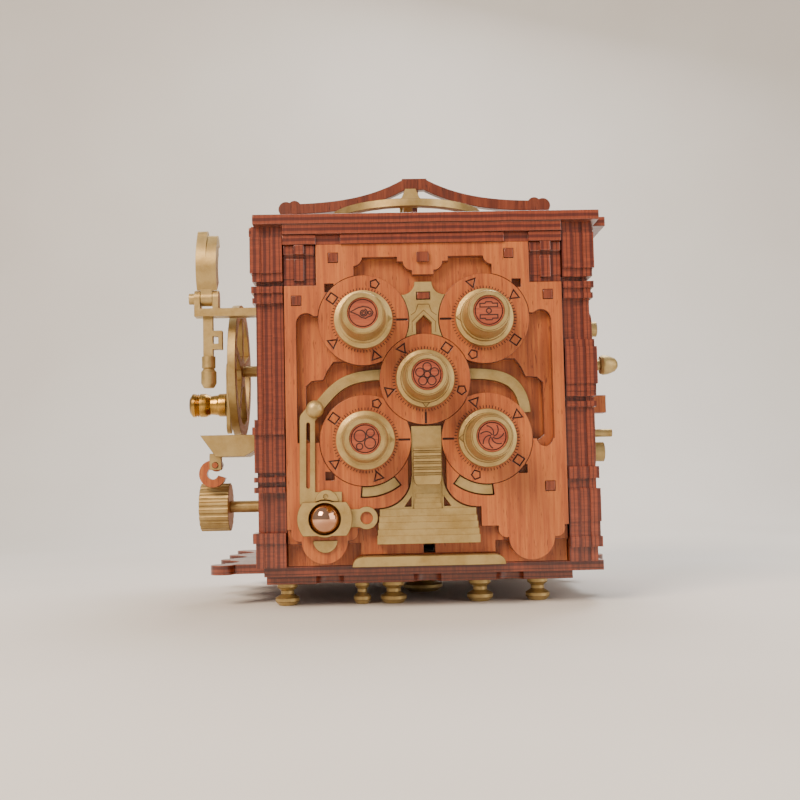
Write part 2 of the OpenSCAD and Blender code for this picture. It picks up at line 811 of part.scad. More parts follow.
// Bracket arm, the forked head that holds the lever, and the turned stem below
module fork_bracket() {
    color(gold) {
        translate([-96.5, -41.5, 122]) cube([27, 7, 3.4]);
        for (x = [-96.5, -88.7]) side_sheet(x, 2.4) {
            box_2d([-41.5, 125], [-34.5, 130]);
            translate([fork_at.x, 130]) circle(3.5);
        }
        translate([-93, fork_at.x - 2, 105]) cube([4, 4, 17.2]);
        translate([-89.1, fork_at.x - 2, 108]) cube([4.1, 4, 2.4]);
        translate([-89.1, fork_at.x - 2, 113.6]) cube([4.1, 4, 2.4]);
        translate([-86.6, fork_at.x - 2, 108]) cube([1.6, 4, 8]);
        translate([-91, fork_at.x, 0]) rotate_extrude() polygon([[0, 91.6], [2.2, 91.6],
            [3.3, 93.6], [3.3, 98.4], [2.3, 99.8], [2.9, 100.2], [2.9, 105], [0, 105]]);
        bar_x(fork_at, -99, 2.6, 2.4);
        bar_x(fork_at, -96.6, 9.7, 1.4);
    }
}

// Curved double-plate lever on the fork's pin: narrow in the fork, two thick plates above it
module fork_lever() {
    color(gold) {
        side_sheet(-93.8, 4.8) difference() {
            union() {
                translate(fork_at) circle(3.2);
                translate(fork_at) rotate(2) translate([-2.6, 0]) square([5.2, 9]);
            }
            translate(fork_at) circle(1.46);
        }
        side_sheet(-95.4, 4.2) translate(fork_at) lever_plate(30.5);
        side_sheet(-91.2 - 0.2, 0.4) translate(fork_at) lever_plate(26);
        side_sheet(-91, 4.2) translate(fork_at) lever_plate(28.5);
    }
}

// Outline of one lever plate, drawn from the pivot: a bowed arm with a hooked end
module lever_plate(top) {
    difference() {
        union() {
            strip([[0.5, 5.4], [-4.5, 12], [-2.5, 20], [3.5, top - 4]], 3.6);
            translate([3.2, top - 4.4]) circle(3.9);
        }
        translate([6.2, top - 7.4]) circle(2.6);
    }
}

// Gold trough under the wheel, with a lug for the hook
module trough() {
    color(gold) {
        translate([0, -26, 0]) rotate([90, 0, 0]) linear_extrude(22) difference() {
            trough_outline();
            polygon([[-89, 72], [-85.6, 64.4], [-76.4, 64.4], [-72, 69], [-72, 72]]);
        }
        for (y = [-26, -46]) translate([0, y, 0]) rotate([90, 0, 0]) linear_extrude(2)
            trough_outline();
        difference() {
            translate([hook_at.x - 2.4, -40, hook_at.y - 2]) cube([5, 3, 65.5 - hook_at.y]);
            bar_y(hook_at, -41, 5, 1.28);
        }
    }
}

module trough_outline() {
    polygon([[-93.4, 71], [-87, 62], [-75, 62], [-69.5, 65], [-69.5, 71]]);
}

// C-shaped hook that swings on the trough's lug
module left_hook() {
    color(wood) front_sheet(-36.6, 3.6) translate(hook_at) {
        circle(2.7);
        translate([-1.6, -3.6]) arc_2d(2.4, 5.8, 80, 262);
    }
    color(brass) bar_y(hook_at, -40.6, 8, 1.2);
}

// ---- Right side -------------------------------------------------------------

module right_rack() {
    color(wood_red) {
        side_sheet(74) difference() {
            union() {
                box_2d([-18, 60], [-2, 118]);
                translate([-10, 118]) circle(8);
                translate([-10, 60]) circle(8);
            }
            translate(axle_at) circle(shaft_r + 0.08);
        }
        for (z = [66, 114]) bar_x([-10, z], half_w, 74 - half_w, 3.4);
        translate([78, -14, 79]) cube([6, 8, 8]);
    }
    color(gold) {
        bar_x([-10, 117.5], 78, 3.4, 3.5);
        bar_x([-10, 70], 78, 9, 1.8);
        bar_x([-10, 61.5], 78, 5, 4.4);
    }
}

// Push button: its stem runs through the rack and the side wall
module push_peg() {
    color(gold) turned_x(axle_at, 60) polygon([[0, 0], [shaft_r, 0], [shaft_r, 22.5], [4, 22.5],
        [4.6, 24], [4.2, 26.4], [3, 29.4], [1.4, 30.6], [0, 30.8]]);
}

// ---- Crown ------------------------------------------------------------------

crown_curve = [[-60, 177.4], [-38, 177.4], [-20, 179.6], [-4, 188.6]];

module crown_arms() {
    color(wood) front_sheet(-2) {
        mirrored_x() {
            strip(crown_curve, 2.4);
            translate(crown_curve[0]) circle(3.5);
            translate(crown_curve[0] + [4, 1]) circle(3);
        }
        box_2d([-5.8, 185.6], [5.8, 191]);
    }
    color(wood) side_sheet(-1.9, 3.8)
        strip([for (q = crown_curve) [-0.9 * q.x - 3, q.y - 0.5]], 2.1);
}

module crown_stand() {
    color(gold) {
        for (x = [-52, 52]) translate([x, 0, 0]) rotate_extrude() polygon([[0, cornice_top],
            [4, cornice_top], [4, 160], [2.2, 161.6], [2.2, 168], [3, 169], [2.2, 170],
            [2.2, 174.7], [0, 174.7]]);
        translate([0, 48, 0]) rotate_extrude() polygon([[0, cornice_top], [4, cornice_top],
            [4, 160], [2.2, 161.6], [2.2, 174.4], [0, 174.4]]);
        translate([ring_x, 0, 0]) rotate_extrude() polygon([[0, cornice_top], [8, cornice_top],
            [8, 161], [5, 163], [5, 169.7], [3, 169.7], [3, 181.5], [0, 181.5]]);
        front_sheet(-6.6, 2) difference() {
            polygon([[-10, 176.4], [6, 176.4], [5.4, 178.4], [2, 181], [0.4, 185], [-4.4, 185],
                [-6, 181], [-9.4, 178.4]]);
            for (s = [-1, 1]) translate([-2 + 2.6 * s, 179]) circle(1);
        }
        translate([ring_x - 3, -4.6, 176.4]) cube([6, 3, 4]);
    }
}

// Gold ring that turns on the centre post
module top_ring() {
    color(gold) {
        level_sheet(170, 3.4) translate([ring_x, 0]) {
            difference() {
                circle(35);
                circle(31);
            }
            difference() {
                union() {
                    circle(6);
                    for (a = [30:120:270]) rotate(a) translate([4, -2]) square([28, 4]);
                }
                circle(3.08);
            }
        }
    }
}

// ---- Nodes ------------------------------------------------------------------

base_plate();
feet();
front_step();
front_wall();
middle_panel();
upper_panel();
dial_plate_centre();
dial_plates_corner();
left_wall();
right_wall();
back_frame();
top_plate();
cornice();
pilaster_left();
pilaster_right();
rear_posts();
console_blocks();
neck_plate();
track_arms();
slotted_link();
cradle_plates();
stair_plinth();
drawer_runners();
detent_springs();
fork_bracket();
trough();
crown_arms();
crown_stand();
right_rack();
tenon_caps();
dial_tl_knob();
dial_tl_cap();
dial_tl_spindle();
dial_tr_knob();
dial_tr_cap();
dial_tr_spindle();
dial_c_knob();
dial_c_cap();
dial_c_spindle();
dial_bl_knob();
dial_bl_cap();
dial_bl_spindle();
dial_br_knob();
dial_br_cap();
dial_br_spindle();
drawer_tray();
drawer_front();
drawer_back();
drawer_claws();
drawer_pull();
stair_slider();
ball_cradle();
ball();
handwheel();
crank_grip();
roller();
fork_lever();
left_hook();
top_ring();
push_peg();
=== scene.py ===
# %% [markdown]
# # A dial-coded puzzle box in laser-cut plywood
# The real box is a cube of about 140 mm, built up from 4 mm plywood sheets. Its front face
# carries five turned knobs on engraved plates, gold-painted trim and a polished ball.
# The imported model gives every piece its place. This lesson gives each piece its finish and the
# fine detail that the plain model leaves out.

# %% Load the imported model
import json
from math import cos, pi, radians, sin

import bmesh
import bpy
from mathutils import Matrix, Vector


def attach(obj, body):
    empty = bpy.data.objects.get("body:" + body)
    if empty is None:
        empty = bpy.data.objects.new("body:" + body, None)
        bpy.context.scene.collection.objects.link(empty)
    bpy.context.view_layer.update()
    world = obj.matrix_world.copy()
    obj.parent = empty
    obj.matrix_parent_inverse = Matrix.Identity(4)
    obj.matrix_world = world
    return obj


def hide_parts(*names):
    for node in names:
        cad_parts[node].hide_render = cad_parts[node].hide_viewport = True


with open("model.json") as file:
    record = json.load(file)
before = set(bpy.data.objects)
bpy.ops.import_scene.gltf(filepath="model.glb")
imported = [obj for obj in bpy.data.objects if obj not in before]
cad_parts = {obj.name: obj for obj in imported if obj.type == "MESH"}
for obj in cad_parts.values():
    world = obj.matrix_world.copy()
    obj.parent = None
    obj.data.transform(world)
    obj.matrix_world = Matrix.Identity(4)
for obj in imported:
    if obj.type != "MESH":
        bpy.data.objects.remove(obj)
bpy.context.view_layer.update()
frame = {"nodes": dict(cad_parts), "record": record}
nodes = frame["nodes"]
MM = 0.001

# %% [markdown]
# ## Colours and shader nodes
# Every colour is written as the hex value that a paint chart would give, and one function turns
# it into the linear numbers that the shader wants. One more function adds a shader node with its
# settings and its links, so that each recipe below reads from top to bottom.

# %% Colour and node helpers
def hex_colour(code):
    parts = [int(code[i:i + 2], 16) / 255 for i in (1, 3, 5)]
    return tuple(c / 12.92 if c <= 0.04045 else ((c + 0.055) / 1.055) ** 2.4 for c in parts) + (1,)


def add(tree, kind, links=None, values=None, **settings):
    """Adds one node: settings first, because they decide which sockets it has."""
    node = tree.nodes.new(kind)
    for name, value in settings.items():
        setattr(node, name, value)
    for name, value in (values or {}).items():
        node.inputs[name].default_value = value
    for name, source in (links or {}).items():
        tree.links.new(source, node.inputs[name])
    return node


def ramp_colours(node, stops):
    ramp = node.color_ramp
    while len(ramp.elements) > 1:
        ramp.elements.remove(ramp.elements[-1])
    ramp.elements[0].position, ramp.elements[0].color = stops[0][0], hex_colour(stops[0][1])
    for place, colour in stops[1:]:
        ramp.elements.new(place).color = hex_colour(colour)


def new_finish(name):
    material = bpy.data.materials.new(name)
    material.use_nodes = True
    tree = material.node_tree
    tree.nodes.clear()
    output = tree.nodes.new("ShaderNodeOutputMaterial")
    shader = tree.nodes.new("ShaderNodeBsdfPrincipled")
    tree.links.new(shader.outputs[0], output.inputs[0])
    return material, tree, shader

# %% [markdown]
# ## Stained plywood faces
# The sheets are birch ply with a red-brown stain and a satin varnish. Rotary-cut birch shows
# long, faint grain with short dark pores. The grain is a noise pattern that is stretched along
# the sheet's grain direction: about 1 mm across it and 30 mm along it. Pores are a second, finer
# noise. The pattern reads object coordinates, so it runs straight through every cut-out, as it
# does on a real sheet.

# %% Plywood face finish
def ply_face(name, along, light, middle, dark, rough=0.42):
    material, tree, shader = new_finish(name)
    place = add(tree, "ShaderNodeTexCoord").outputs["Object"]
    squeeze = [1.0, 1.0, 1.0]
    squeeze["XYZ".index(along)] = 0.045
    grain_place = add(tree, "ShaderNodeMapping", {"Vector": place}, {"Scale": squeeze})
    grain = add(tree, "ShaderNodeTexNoise", {"Vector": grain_place.outputs[0]},
                {"Scale": 700.0, "Detail": 5.0, "Roughness": 0.62, "Distortion": 0.3})
    figure = add(tree, "ShaderNodeTexNoise", {"Vector": grain_place.outputs[0]},
                 {"Scale": 150.0, "Detail": 3.0, "Roughness": 0.5, "Distortion": 0.6})
    both = add(tree, "ShaderNodeMix", {2: grain.outputs[0], 3: figure.outputs[0]},
               {0: 0.3}, data_type="FLOAT")
    colour = add(tree, "ShaderNodeValToRGB", {"Fac": both.outputs[0]})
    ramp_colours(colour, [(0.26, dark), (0.46, middle), (0.62, light)])
    blotch = add(tree, "ShaderNodeTexNoise", {"Vector": place},
                 {"Scale": 28.0, "Detail": 2.0, "Roughness": 0.5})
    blotch_mix = add(tree, "ShaderNodeMapRange", {"Value": blotch.outputs[0]},
                     {"From Min": 0.35, "From Max": 0.7, "To Min": 0.92, "To Max": 1.06})
    toned = add(tree, "ShaderNodeVectorMath", {0: colour.outputs[0]}, operation="SCALE")
    tree.links.new(blotch_mix.outputs[0], toned.inputs["Scale"])
    pore_place = add(tree, "ShaderNodeMapping", {"Vector": place},
                     {"Scale": [1.0 if s == 1.0 else 0.12 for s in squeeze]})
    pores = add(tree, "ShaderNodeTexNoise", {"Vector": pore_place.outputs[0]},
                {"Scale": 1900.0, "Detail": 2.0, "Roughness": 0.5})
    pore_mask = add(tree, "ShaderNodeMapRange", {"Value": pores.outputs[0]},
                    {"From Min": 0.62, "From Max": 0.72, "To Min": 0.0, "To Max": 1.0})
    pored = add(tree, "ShaderNodeMix", {0: pore_mask.outputs[0], 6: toned.outputs[0]},
                {7: hex_colour(dark)}, data_type="RGBA")
    tree.links.new(pored.outputs[2], shader.inputs["Base Color"])
    gloss = add(tree, "ShaderNodeMapRange", {"Value": grain.outputs[0]},
                {"From Min": 0.3, "From Max": 0.7, "To Min": rough + 0.1, "To Max": rough - 0.06})
    tree.links.new(gloss.outputs[0], shader.inputs["Roughness"])
    bump = add(tree, "ShaderNodeBump", {"Height": grain.outputs[0]},
               {"Strength": 0.16, "Distance": 0.0002})
    tree.links.new(bump.outputs[0], shader.inputs["Normal"])
    shader.inputs["Coat Weight"].default_value = 0.25
    shader.inputs["Coat Roughness"].default_value = 0.22
    return material

stained = {axis: ply_face("stained_birch_ply_grain_" + axis, axis, "#bc6c33", "#a65425", "#743615")
           for axis in "XYZ"}
dark_face = {axis: ply_face("dark_birch_ply_grain_" + axis, axis, "#87442a", "#682d19", "#3e190d",
                            rough=0.32) for axis in "XYZ"}
cap_face = ply_face("red_cap_wood", "X", "#ab5530", "#933f22", "#652714", rough=0.5)
print("plywood faces:", len(stained) + len(dark_face) + 1)

# %% [markdown]
# ## Laser-cut edges
# The laser chars the wood as it cuts, so every edge is dark red-brown, and varnish makes it
# glossy. Three plies show as stripes: the two outer ones run along the edge, and the middle one
# shows end grain, which chars darker. Fine lines across the edge are left by the pulsing beam.
# The stripe pattern counts from the sheet's own face, 4 mm to a sheet.

# %% Burnt edge finish
SHEET = 4 * MM


def burnt_edge(name, across, start, light="#813b22", dark="#43190f", middle="#562115"):
    material, tree, shader = new_finish(name)
    place = add(tree, "ShaderNodeTexCoord").outputs["Object"]
    split = add(tree, "ShaderNodeSeparateXYZ", {0: place})
    depth = split.outputs["XYZ".index(across)]
    level = add(tree, "ShaderNodeMath", {0: depth}, {1: -start}, operation="ADD")
    sheets = add(tree, "ShaderNodeMath", {0: level.outputs[0]}, {1: SHEET}, operation="DIVIDE")
    inside = add(tree, "ShaderNodeMath", {0: sheets.outputs[0]}, operation="FRACT")
    waviness = add(tree, "ShaderNodeTexNoise", {"Vector": place}, {"Scale": 90.0, "Detail": 2.0})
    wave = add(tree, "ShaderNodeMapRange", {"Value": waviness.outputs[0]},
               {"To Min": -0.07, "To Max": 0.07})
    ply = add(tree, "ShaderNodeMath", {0: inside.outputs[0], 1: wave.outputs[0]}, operation="ADD")
    stripes = add(tree, "ShaderNodeValToRGB", {"Fac": ply.outputs[0]})
    ramp_colours(stripes, [(0.0, dark), (0.06, light), (0.3, light), (0.36, middle),
                           (0.62, middle), (0.68, light), (0.92, light), (0.99, dark)])
    squeeze = [1.0, 1.0, 1.0]
    squeeze["XYZ".index(across)] = 0.06
    lines_place = add(tree, "ShaderNodeMapping", {"Vector": place}, {"Scale": squeeze})
    lines = add(tree, "ShaderNodeTexNoise", {"Vector": lines_place.outputs[0]},
                {"Scale": 1300.0, "Detail": 3.0, "Roughness": 0.6})
    scorch = add(tree, "ShaderNodeMapRange", {"Value": lines.outputs[0]},
                 {"From Min": 0.3, "From Max": 0.7, "To Min": 0.7, "To Max": 1.25})
    toned = add(tree, "ShaderNodeVectorMath", {0: stripes.outputs[0]}, operation="SCALE")
    tree.links.new(scorch.outputs[0], toned.inputs["Scale"])
    tree.links.new(toned.outputs[0], shader.inputs["Base Color"])
    bump = add(tree, "ShaderNodeBump", {"Height": lines.outputs[0]},
               {"Strength": 0.35, "Distance": 0.0002})
    tree.links.new(bump.outputs[0], shader.inputs["Normal"])
    shader.inputs["Roughness"].default_value = 0.3
    shader.inputs["Coat Weight"].default_value = 0.6
    shader.inputs["Coat Roughness"].default_value = 0.22
    return material


FACE_FRONT, BOX_LEFT, ROOF_TOP = -70 * MM, -69.5 * MM, 158 * MM
front_edge = burnt_edge("burnt_edge_front_sheets", "Y", FACE_FRONT)
side_edge = burnt_edge("burnt_edge_side_sheets", "X", BOX_LEFT)
level_edge = burnt_edge("burnt_edge_level_sheets", "Z", ROOF_TOP)
print("edges:", front_edge.name, side_edge.name, level_edge.name)

# %% [markdown]
# ## Gold paint, brass, steel and char
# The trim is the same plywood, sprayed with a pale gold paint: fine metal flakes in a clear
# binder, satin, a little blotchy, and browner at the edges. The crank grip and the drawer's
# claws are solid brass. The ball is polished steel, and its coppery colour is a painted reflection
# of the warm wood round it. Engraving is plain char.

# %% Gold paint
def gold_paint(name, light, dark, rough=0.42):
    material, tree, shader = new_finish(name)
    place = add(tree, "ShaderNodeTexCoord").outputs["Object"]
    cloud = add(tree, "ShaderNodeTexNoise", {"Vector": place},
                {"Scale": 120.0, "Detail": 5.0, "Roughness": 0.65})
    colour = add(tree, "ShaderNodeValToRGB", {"Fac": cloud.outputs[0]})
    ramp_colours(colour, [(0.32, dark), (0.6, light)])
    tree.links.new(colour.outputs[0], shader.inputs["Base Color"])
    flakes = add(tree, "ShaderNodeTexVoronoi", {"Vector": place}, {"Scale": 3200.0})
    sparkle = add(tree, "ShaderNodeSeparateColor", {0: flakes.outputs["Color"]})
    gloss = add(tree, "ShaderNodeMapRange", {"Value": sparkle.outputs[0]},
                {"To Min": rough - 0.1, "To Max": rough + 0.12})
    tree.links.new(gloss.outputs[0], shader.inputs["Roughness"])
    skin = add(tree, "ShaderNodeTexNoise", {"Vector": place},
               {"Scale": 1500.0, "Detail": 3.0, "Roughness": 0.6})
    bump = add(tree, "ShaderNodeBump", {"Height": skin.outputs[0]},
               {"Strength": 0.22, "Distance": 0.0002})
    tree.links.new(bump.outputs[0], shader.inputs["Normal"])
    shader.inputs["Metallic"].default_value = 0.68
    return material


gold = gold_paint("pale_gold_paint", "#bfa66f", "#a98d55")
gold_rim = gold_paint("gold_paint_over_char", "#8a6d40", "#5f4626", rough=0.5)


# %% Bare metals
def bare_metal(name, colour, rough, streak_axis="Y", streak=0.1):
    material, tree, shader = new_finish(name)
    place = add(tree, "ShaderNodeTexCoord").outputs["Object"]
    squeeze = [0.05, 0.05, 0.05]
    squeeze["XYZ".index(streak_axis)] = 1.0
    lines_place = add(tree, "ShaderNodeMapping", {"Vector": place}, {"Scale": squeeze})
    lines = add(tree, "ShaderNodeTexNoise", {"Vector": lines_place.outputs[0]},
                {"Scale": 3000.0, "Detail": 3.0, "Roughness": 0.6})
    gloss = add(tree, "ShaderNodeMapRange", {"Value": lines.outputs[0]},
                {"To Min": rough - streak, "To Max": rough + streak})
    tarnish = add(tree, "ShaderNodeTexNoise", {"Vector": place}, {"Scale": 140.0, "Detail": 4.0})
    colour_node = add(tree, "ShaderNodeValToRGB", {"Fac": tarnish.outputs[0]})
    ramp_colours(colour_node, [(0.3, colour[1]), (0.62, colour[0])])
    tree.links.new(colour_node.outputs[0], shader.inputs["Base Color"])
    tree.links.new(gloss.outputs[0], shader.inputs["Roughness"])
    shader.inputs["Metallic"].default_value = 1.0
    return material


brass = bare_metal("turned_brass", ("#c79b4f", "#8c6a33"), 0.28, "X")
steel = bare_metal("drawn_steel", ("#b9b8b4", "#8d8c89"), 0.34, "Y")
# The coppery base colour on the ball is a painted reflection of the warm wood round it.
ball_steel = bare_metal("polished_steel_ball_painted_reflection", ("#dba98a", "#c48a68"), 0.07, "Z", 0.02)


# %% Char in the engraved lines
def char_finish():
    material, tree, shader = new_finish("engraved_char")
    place = add(tree, "ShaderNodeTexCoord").outputs["Object"]
    soot = add(tree, "ShaderNodeTexNoise", {"Vector": place}, {"Scale": 1500.0, "Detail": 3.0})
    colour = add(tree, "ShaderNodeValToRGB", {"Fac": soot.outputs[0]})
    ramp_colours(colour, [(0.35, "#1c0a05"), (0.65, "#3a160c")])
    tree.links.new(colour.outputs[0], shader.inputs["Base Color"])
    shader.inputs["Roughness"].default_value = 0.7
    return material


char = char_finish()
print("metals and char:", gold.name, brass.name, steel.name, ball_steel.name, char.name)

# %% [markdown]
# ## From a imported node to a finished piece
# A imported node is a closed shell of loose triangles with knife-sharp edges. The finished piece
# starts as a copy of it: points that coincide are merged, flat areas become single faces, and a
# bevel breaks each edge, as varnish and handling do. It is 0.1 to 0.2 mm wide on most pieces, and
# up to 0.9 mm on the posts and mouldings at the corners. On plywood the bevel takes the burnt
# finish, which draws the thin dark line that a laser leaves round each cut.
# Which finish a face gets follows from its direction: the sheet's broad faces show grain, and all
# others are cut edges.

# %% Finished copies
def merged_copy(node):
    """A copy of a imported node's mesh as a bmesh, with coincident points merged."""
    shape = bmesh.new()
    shape.from_mesh(nodes[node].data)
    bmesh.ops.remove_doubles(shape, verts=shape.verts, dist=0.002 * MM)
    bmesh.ops.dissolve_limit(shape, angle_limit=radians(0.4), verts=shape.verts, edges=shape.edges)
    return shape


def piece_from(shape, name, finishes):
    mesh = bpy.data.meshes.new(name)
    shape.to_mesh(mesh)
    shape.free()
    piece = bpy.data.objects.new(name, mesh)
    bpy.context.scene.collection.objects.link(piece)
    for finish in finishes:
        mesh.materials.append(finish)
    return piece


def smooth_with_sharp_edges(shape, limit=32):
    for face in shape.faces:
        face.smooth = True
    for edge in shape.edges:
        if len(edge.link_faces) == 2:
            edge.smooth = edge.calc_face_angle(0) < radians(limit)


def room_beside(edge):
    """How far a bevel can reach from this edge: a little under half the shortest neighbour."""
    beside = [e.calc_length() for face in edge.link_faces for e in face.edges
              if e != edge and set(e.verts) & set(edge.verts)]
    return 0.45 * min(beside)


def weigh_edges(shape, width_mm, limit=32):
    """Weights for the bevel: outer corners get the full width where there is room for it."""
    weight = shape.edges.layers.float.new("bevel_weight_edge")
    for edge in shape.edges:
        if len(edge.link_faces) == 2 and edge.calc_face_angle(0) > radians(limit):
            reach = min(width_mm * MM, room_beside(edge))
            edge[weight] = (reach if edge.is_convex else min(reach, 0.1 * MM)) / (width_mm * MM)


def break_edges(piece, width_mm, rim, segments=2):
    bevel = piece.modifiers.new("broken_edges", "BEVEL")
    bevel.width = width_mm * MM
    bevel.segments = segments
    bevel.limit_method = "WEIGHT" if width_mm > 0.4 else "ANGLE"
    bevel.angle_limit = radians(32)
    bevel.use_clamp_overlap = False
    bevel.material = rim
    flat = piece.modifiers.new("flat_faces_stay_flat", "WEIGHTED_NORMAL")
    flat.weight, flat.keep_sharp = 100, True
    bake_modifiers(piece)


def bake_modifiers(piece):
    """Turns what the modifiers give into the piece's own mesh."""
    view = bpy.context.evaluated_depsgraph_get()
    made = bpy.data.meshes.new_from_object(piece.evaluated_get(view))
    old = piece.data
    piece.modifiers.clear()
    piece.data = made
    bpy.data.meshes.remove(old)


def folded_area(mesh):
    """Area in mm2 of triangles that face against their own polygon: a bevel that went too far."""
    mesh.calc_loop_triangles()
    area = 0
    for part in mesh.loop_triangles:
        a, b, c = (mesh.vertices[i].co for i in part.vertices)
        across = (b - a).cross(c - a) / 2
        if across.dot(mesh.polygons[part.polygon_index].normal) < 0:
            area += across.length * 1e6
    return area


def finish_node(node, body, finishes, faces_along=None, bevel_mm=0.15, recolour=None,
                segments=2):
    """Replaces a node by its finished copy. faces_along is the sheet's normal axis: faces that
    look along it take the first finish, the rest and the bevels take the second. A bevel that
    folds a face over is made again at half the width."""
    shape = merged_copy(node)
    if faces_along:
        axis = Vector([float(a == faces_along) for a in "XYZ"])
        for face in shape.faces:
            face.material_index = 0 if abs(face.normal.dot(axis)) > 0.9 else 1
    if recolour:
        recolour(shape)
    smooth_with_sharp_edges(shape)
    for width in (bevel_mm, bevel_mm / 2, bevel_mm / 6, 0):
        trial = shape.copy()
        if width > 0.4:
            weigh_edges(trial, width)
        piece = piece_from(trial, node + "_piece", finishes)
        if width:
            break_edges(piece, width, 1 if len(finishes) > 1 else 0, segments)
        if not width or folded_area(piece.data) < 0.02:
            break
        bpy.data.objects.remove(piece)
    shape.free()
    if width < bevel_mm:
        print("narrower edges:", node, width)
    piece.name = node + "_piece"
    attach(piece, body)
    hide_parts(node)
    return piece


body_of_node = {node: body for body, members in frame["record"]["behaviour"]["bodies"].items()
                for node in members}
slot_of_node = {part["node"]: part["material_slot"] for part in frame["record"]["subparts"]}

# %% [markdown]
# ## The plywood sheets
# Each sheet gets grain along its length: upright on the faces and the sides, along the width on
# the roof and base. The panels, walls and dial plates share one orange-brown finish. The base,
# roof, corner posts and crown take the darker one, which sets off the face like a frame.

# %% Sheets
char_slot = 2
ENGRAVING_DEPTH = (0.1 * MM, 1 * MM)


def char_the_engraving(shape):
    """The floors and walls of the engraved lines lie just behind the front of the plate."""
    nearest, farthest = (FACE_FRONT + depth for depth in ENGRAVING_DEPTH)
    for face in shape.faces:
        if nearest < face.calc_center_median().y < farthest:
            face.material_index = char_slot


sheets = {
    "Y": ["front_wall", "middle_panel", "upper_panel", "back_frame", "drawer_front",
          "drawer_back", "crown_arms", "left_hook"],
    "X": ["left_wall", "right_wall"],
    "Z": ["base_plate", "top_plate", "drawer_tray"],
}
edge_of = {"Y": front_edge, "X": side_edge, "Z": level_edge}
grain_of = {"Y": "Z", "X": "Z", "Z": "X"}
for axis, names in sheets.items():
    for node in names:
        pale = slot_of_node[node] == "stained_ply" and node != "crown_arms"
        family = stained if pale else dark_face
        finish_node(node, body_of_node[node],
                    [family[grain_of[axis]], edge_of[axis]], axis, 0.2)
for node in ("dial_plate_centre", "dial_plates_corner"):
    finish_node(node, body_of_node[node], [stained["Z"], front_edge, char],
                "Y", 0.08, char_the_engraving)
for node in ("rear_posts", "tenon_caps", "drawer_runners"):
    finish_node(node, body_of_node[node], [dark_face["Z"], front_edge], "Y", 0.2)
for node, axis, soft in (("pilaster_left", "X", 0.7), ("pilaster_right", "X", 0.7),
                         ("console_blocks", "X", 0.9), ("cornice", "Z", 0.7)):
    finish_node(node, "box", [dark_face[grain_of[axis]], edge_of[axis]], axis, soft,
                segments=4)

# %% [markdown]
# ## Gold trim and turned parts
# The gold pieces keep their shape from the model. Their broken edges get the browner finish,
# because the paint is thin there and the char shows through.

# %% Gold and metal pieces
CAP_FACE = -89.5 * MM


def char_the_groove(shape):
    """The groove round a cap lies 0.3 mm below its face."""
    for face in shape.faces:
        if 0.2 * MM < face.calc_center_median().y - CAP_FACE < 0.4 * MM:
            face.material_index = 1


gold_nodes = [node for node in nodes if slot_of_node[node] == "gold_ply"]
for node in gold_nodes:
    finish_node(node, body_of_node[node], [gold, gold_rim], None, 0.14)
for node in ("drawer_claws", "crank_grip"):
    finish_node(node, body_of_node[node], [brass], None, 0.1)
for node in nodes:
    if slot_of_node[node] == "steel":
        finish_node(node, body_of_node[node], [steel], None, 0.08)
    if slot_of_node[node] == "cap_wood":
        finish_node(node, body_of_node[node], [cap_face, char], None, 0.06,
                    char_the_groove)
finish_node("ball", "ball", [ball_steel], None, 0)


RACK_FACE = 78.01
BLOCK_BOTTOM, BLOCK_TOP = 78, 88
stud_slot, block_slot = 2, 3


def gild_the_studs(shape):
    """On the right-hand rack the three round studs are gold and the square block is pale ply."""
    for face in shape.faces:
        spot = face.calc_center_median() / MM
        if spot.x > RACK_FACE:
            face.material_index = block_slot if BLOCK_BOTTOM < spot.z < BLOCK_TOP else stud_slot


finish_node("right_rack", "box", [dark_face["Z"], side_edge, gold, stained["Z"]], "X",
            0.2, gild_the_studs)
print("gold pieces:", len(gold_nodes))

# %% [markdown]
# ## Laser-drawn lines
# The caps carry small pictures that the laser drew: an eye with a tail, two brackets round a
# circle, a flower of circles, bubbles and a seven-bladed iris. Each line is a dark strip 0.3 to
# 0.5 mm wide that stands 0.03 mm out of the wood. The gold neck plate has its own two chevrons, and the
# drawer's back has a plain double border.

# %% Line pictures
dial_at = {"tl": (-24.25, 115.1), "tr": (24.25, 115.1), "c": (0, 91), "bl": (-24.25, 66.9),
           "br": (24.25, 66.9)}
# The two depths in mm between which each set of lines stands, half sunk in its surface
CAP_LINES, NECK_LINES, DRAWER_LINES = (-89.53, -89.42), (-69.63, -69.52), (62.36, 62.43)


def ribbon(shape, line, closed, width, front, back):
    """A strip along a line of (x, z) points, as a closed shell between two depths, all in mm."""
    rings = []
    for i, here in enumerate(line):
        before = line[i - 1] if closed or i else here
        after = line[(i + 1) % len(line)] if closed or i < len(line) - 1 else here
        way_in, way_out = (here - before), (after - here)
        way_in = way_in.normalized() if way_in.length else way_out.normalized()
        way_out = way_out.normalized() if way_out.length else way_in
        middle_way = (way_in + way_out).normalized()
        reach = width / 2 / max(0.5, middle_way.dot(way_out))
        side = Vector((-middle_way.y, middle_way.x)) * reach
        corners = ((here - side, front), (here + side, front), (here + side, back),
                   (here - side, back))
        rings.append([shape.verts.new((p.x * MM, y * MM, p.y * MM)) for p, y in corners])
    pairs = list(zip(rings, rings[1:])) + ([(rings[-1], rings[0])] if closed else [])
    for a, b in pairs:
        for k in range(4):
            shape.faces.new((a[k], a[(k + 1) % 4], b[(k + 1) % 4], b[k]))
    if not closed:
        shape.faces.new(rings[0])
        shape.faces.new(rings[-1])


def ring_line(x, z, r, count=30):
    turn = [2 * pi * k / count for k in range(count)]
    return [Vector((x + r * cos(a), z + r * sin(a))) for a in turn], True


def open_line(*points):
    return [Vector(p) for p in points], False


def closed_line(*points):
    return [Vector(p) for p in points], True


